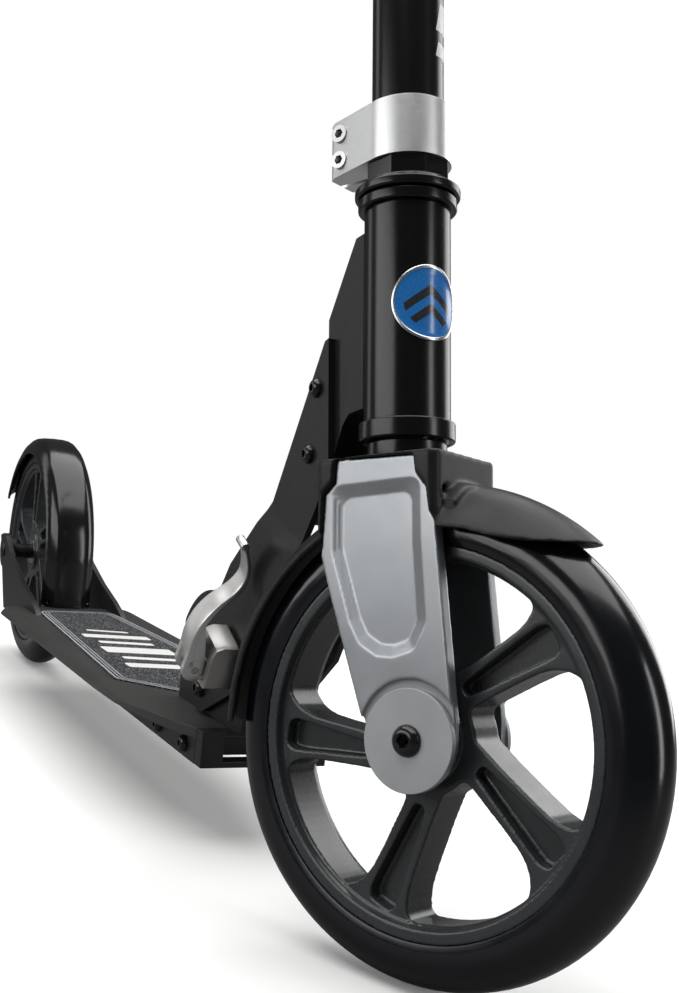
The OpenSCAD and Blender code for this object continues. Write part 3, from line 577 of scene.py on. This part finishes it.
def lever_ring(y, z, r_in, r_out, x0, x1):
    """A ring along the lever's pin direction, with soft outer edges."""
    soft = min(0.6, (x1 - x0) / 4)
    edge = soft * 0.3
    profile = [(r_in, x0), (r_out - soft, x0), (r_out - edge, x0 + edge), (r_out, x0 + soft),
               (r_out, x1 - soft), (r_out - edge, x1 - edge), (r_out - soft, x1), (r_in, x1)]
    turn = basis(Vector((0, 0, 0)), Vector((0, 1, 0)), Vector((0, 0, 1)))
    place = lever @ Matrix.Translation(Vector((0, y, z)) * MM) @ turn
    return lathe([(r * MM, h * MM) for r, h in profile], 48, place)


def lever_cheek(x0, x1):
    """A side plate that joins the strip to an eye."""
    outline = [(-48.7, 1), (-48.1, 8), (-47.6, 14), (-46, 21), (-44.4, 27), (-43.2, 29),
               (-41.4, 22), (-39.6, 14), (-38.2, 5.4)]
    count = len(outline)
    faces = [tuple(range(count - 1, -1, -1)), tuple(range(count, 2 * count))]
    faces += [(i, (i + 1) % count, count + (i + 1) % count, count + i) for i in range(count)]
    return [on_lever(x, y, z) for x in (x0, x1) for y, z in outline], faces


def fold_lever_piece():
    """Curved flat lever with a rolled tip and, at its foot, two eyes round the pin."""
    verts, faces, tip = lever_strip()
    parts = [lever_ring(-cam_y, 0, 2.05, 7, -7.5, -3.7), lever_ring(-cam_y, 0, 2.05, 7, 3.7, 7.5),
             lever_ring(tip.x, tip.y, 0.05, 2.3, -4.8, 4.8), lever_cheek(-7.4, -3.8), lever_cheek(3.8, 7.4)]
    for more_verts, more_faces in parts:
        faces += [tuple(v + len(verts) for v in face) for face in more_faces]
        verts += more_verts
    obj = piece("fold_lever_arm", verts, faces, POLISHED, "fold_lever")
    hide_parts("qr_lever")


def saddle_piece():
    """Cast block between the lever's cam and the neck plate, hollowed for the cam behind a full front."""
    hollow_r = 7.6
    turns = [math.radians(a) for a in (-52, -40, -26, -13, 0, 13, 26, 40, 52)]
    hollow = [(-cam_y + hollow_r * math.cos(t), hollow_r * math.sin(t)) for t in turns]
    behind = [(-22.1, -8), (-22.1, 16.2), (-23.8, 18.0), (-31.5, 18.2), (-35.4, 16.2), (-36.8, 12.2),
              (-37.2, 7.8)] + hollow[::-1] + [(-37.6, -8)]
    front = [(-37.2, p[1]) if p in hollow else p for p in behind]
    middle = Vector((-29.6, 5.0))
    # Sections along the pin: place, size relative to the full outline, outline
    sections = [(-10, 0.0, behind), (-10, 0.9, behind), (-9.4, 0.97, behind), (-8.6, 1, behind),
                (8.2, 1, behind), (8.6, 1, front), (10.4, 1, front), (11.9, 0.985, front),
                (12.8, 0.95, front), (13, 0.88, front), (13, 0.0, front)]
    verts = [on_lever(x, *(middle + (Vector(p) - middle) * shrink))
             for x, shrink, outline in sections for p in outline]
    obj = piece("cam_block", verts, grid_faces(len(sections), len(behind), True), CAST, "neck")
    crease = obj.modifiers.new("bevel", "BEVEL")
    crease.width = 0.8 * MM
    crease.segments = 2
    crease.angle_limit = math.radians(35)
    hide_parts("qr_saddle")


fold_lever_piece()
saddle_piece()


# ---- studio ----

def area_light(name, at, aim, width, power, height):
    """Soft box that isn't seen itself."""
    light = bpy.data.lights.new(name, "AREA")
    light.energy = power
    light.shape = "RECTANGLE"
    light.size = width
    light.size_y = height
    obj = bpy.data.objects.new(name, light)
    obj.location = at
    obj.rotation_mode = "QUATERNION"
    obj.rotation_quaternion = (Vector(aim) - Vector(at)).to_track_quat("-Z", "Y")
    obj.visible_camera = False
    bpy.context.scene.collection.objects.link(obj)


def plane(name, at, normal, size, material):
    """Square of the stage, which isn't part of the object."""
    half = size / 2
    mesh = bpy.data.meshes.new(name)
    mesh.from_pydata([(x, y, 0) for x, y in ((-half, -half), (half, -half), (half, half), (-half, half))],
                     [], [(0, 1, 2, 3)])
    mesh.materials.append(material)
    obj = bpy.data.objects.new(name, mesh)
    obj.location = at
    obj.rotation_mode = "QUATERNION"
    obj.rotation_quaternion = Vector(normal).to_track_quat("Z", "Y")
    bpy.context.scene.collection.objects.link(obj)


# Camera: held low in front of the wheel, on its right; placed from the front axle, turned in radians
cam_at = wheel_centre + Vector((0.4372, -0.2763, 0.1131))
yaw, pitch, roll = 2.72182, -0.05358, 0.09419
ahead = Vector((math.cos(pitch) * math.cos(yaw), math.cos(pitch) * math.sin(yaw), math.sin(pitch)))
right = Vector((math.sin(yaw), -math.cos(yaw), 0))
up = right.cross(ahead)
right, up = (math.cos(roll) * right + math.sin(roll) * up, math.cos(roll) * up - math.sin(roll) * right)
camera = bpy.data.objects.new("camera", bpy.data.cameras.new("camera"))
camera.matrix_world = basis(cam_at, right, up)
camera.data.sensor_width = 36
camera.data.lens = 45.28
camera.data.shift_x = 0.0604
camera.data.shift_y = 0.0201
camera.data.clip_start = 0.01
bpy.context.scene.collection.objects.link(camera)
bpy.context.scene.camera = camera

# Pale floor that runs out into the white backdrop, as a studio sweep does
floor_look = Nodes("floor_white").set(Roughness=0.6, Specular_IOR_Level=0.1, Emission_Color=(1, 1, 1, 1))
way = floor_look.add("ShaderNodeVectorMath", {0: floor_look.place}, operation="LENGTH").outputs["Value"]
pale = floor_look.blend(floor_look.noise(3, 2), (0.87, 0.87, 0.86), (0.91, 0.91, 0.90))
ray = floor_look.add("ShaderNodeLightPath").outputs["Is Camera Ray"]
pale = floor_look.blend(ray, (0.16, 0.16, 0.16), pale, 0, 1)
floor_look.feed("Base Color", floor_look.blend(way, pale, (0, 0, 0), 0.5, 1.3))
glow = floor_look.spread(way, 0.06, 1.0, 0.5, 1.3)
floor_look.feed("Emission Strength", floor_look.add("ShaderNodeMath", {0: glow, 1: floor_look.spread(
    ray, 0.1, 1.0, 0, 1)}, operation="MULTIPLY").outputs[0])
plane("floor", (0, 0, -0.4 * MM), (0, 0, 1), 12, floor_look.material)

# White studio for the camera, dim for what the gloss reflects; soft boxes do the lighting
mid = wheel_centre + Vector((-0.1, 0, 0.1))
world = bpy.data.worlds.new("studio")
world.use_nodes = True
backdrop = world.node_tree.nodes["Background"]
seen = world.node_tree.nodes.new("ShaderNodeLightPath")
level = world.node_tree.nodes.new("ShaderNodeMapRange")
level.inputs["To Min"].default_value = 0.07
world.node_tree.links.new(seen.outputs["Is Camera Ray"], level.inputs["Value"])
world.node_tree.links.new(level.outputs[0], backdrop.inputs["Strength"])
backdrop.inputs["Color"].default_value = (1, 1, 1, 1)
bpy.context.scene.world = world
bpy.context.scene.view_settings.view_transform = "Standard"

area_light("overhead", mid + Vector((-0.2, 0, 2.2)), mid, 3.4, 110, 3.4)
area_light("side", mid + Vector((-0.1, -1.8, 0.52)), mid + Vector((0, 0, 0.1)), 1.9, 13, 0.75)
area_light("right_back", mid + Vector((-0.5, 1.7, 0.55)), mid + Vector((0, 0, 0.1)), 1.0, 14, 1.5)
area_light("front", mid + Vector((1.5, 1.1, 0.4)), mid, 0.35, 7, 1.3)
area_light("left", mid + Vector((-1.9, -1.2, 0.5)), mid, 0.5, 2.5, 1.5)
